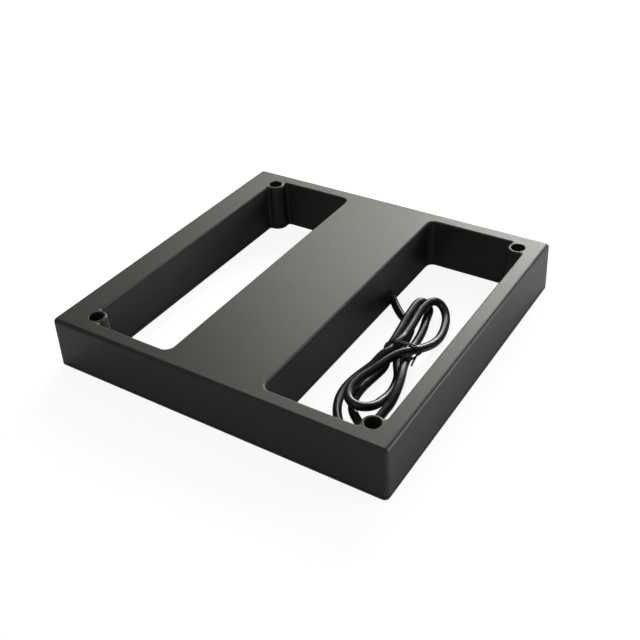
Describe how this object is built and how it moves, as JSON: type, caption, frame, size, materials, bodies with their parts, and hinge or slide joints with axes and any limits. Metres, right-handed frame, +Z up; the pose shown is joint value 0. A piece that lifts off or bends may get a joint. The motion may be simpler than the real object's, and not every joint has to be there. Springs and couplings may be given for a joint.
{
  "type": "long-range proximity reader",
  "caption": "Flat square plastic reader panel with two through windows, a wide central bridge, corner fixing holes and a tied cable coiled in one window.",
  "frame": {"origin": "centre of the housing's base outline, on the surface it rests on", "axes": "+X along the front edge to the right, +Y to the back, +Z up out of the flat top face"},
  "size_m": [0.23, 0.222, 0.034],
  "materials": {
    "housing_plastic": "satin black, fine moulded grain",
    "cover_plastic": "satin black",
    "seal_rubber": "matt",
    "label_film": "blank silver-grey film",
    "screw_steel": "zinc plated",
    "winding_wire": "enamelled copper",
    "clip_plastic": "natural",
    "board_laminate": "green solder mask",
    "chip_resin": "black moulding resin",
    "tinned_metal": "tin plated",
    "film_capacitor_case": "red dipped case",
    "capacitor_sleeve": "dark blue sleeve",
    "ferrite_core": "sintered",
    "connector_plastic": "natural",
    "red_wire": "insulation",
    "black_wire": "insulation",
    "green_wire": "insulation",
    "white_wire": "insulation",
    "cable_jacket": "glossy black jacket",
    "tie_coat": "black coated wire"
  },
  "bodies": {
    "housing": {"upper_housing": "housing_plastic", "base_cover": "cover_plastic", "gasket_outer": "seal_rubber", "gasket_window_left": "seal_rubber", "gasket_window_right": "seal_rubber", "blank_label": "label_film", "cover_screw_1": "screw_steel", "cover_screw_2": "screw_steel", "cover_screw_3": "screw_steel", "cover_screw_4": "screw_steel", "cover_screw_5": "screw_steel", "cover_screw_6": "screw_steel", "board_screw_1": "screw_steel", "board_screw_2": "screw_steel", "board_screw_3": "screw_steel", "board_screw_4": "screw_steel", "clamp_screw_1": "screw_steel", "clamp_screw_2": "screw_steel", "transmit_coil": "winding_wire", "receive_coil": "winding_wire", "transmit_lead_1": "winding_wire", "transmit_lead_2": "winding_wire", "receive_lead_1": "winding_wire", "receive_lead_2": "winding_wire", "coil_clip_front": "clip_plastic", "coil_clip_back": "clip_plastic", "coil_clip_left": "clip_plastic", "coil_clip_right": "clip_plastic", "main_board": "board_laminate", "microcontroller": "chip_resin", "decoder_chip": "chip_resin", "crystal": "tinned_metal", "voltage_regulator": "chip_resin", "power_transistor_1": "chip_resin", "power_transistor_2": "chip_resin", "tuning_capacitor_1": "film_capacitor_case", "tuning_capacitor_2": "film_capacitor_case", "filter_capacitor_1": "capacitor_sleeve", "filter_capacitor_2": "capacitor_sleeve", "choke": "ferrite_core", "sounder": "chip_resin", "cable_header": "connector_plastic", "cable_plug": "connector_plastic", "cable_core_red": "red_wire", "cable_core_black": "black_wire", "cable_core_green": "green_wire", "cable_core_white": "white_wire", "cable_clamp": "clip_plastic", "cable_grommet": "seal_rubber", "cable_root": "cable_jacket"},
    "cable": {"cable_coil": "cable_jacket", "wire_tie": "tie_coat"}
  },
  "joints": [
    {"name": "cable_lift", "type": "hinge", "parent": "housing", "child": "cable", "pos_m": [0.0349, 0.0424, 0.0054], "axis": [0, -1, 0], "range_deg": [0, 45]}
  ]
}
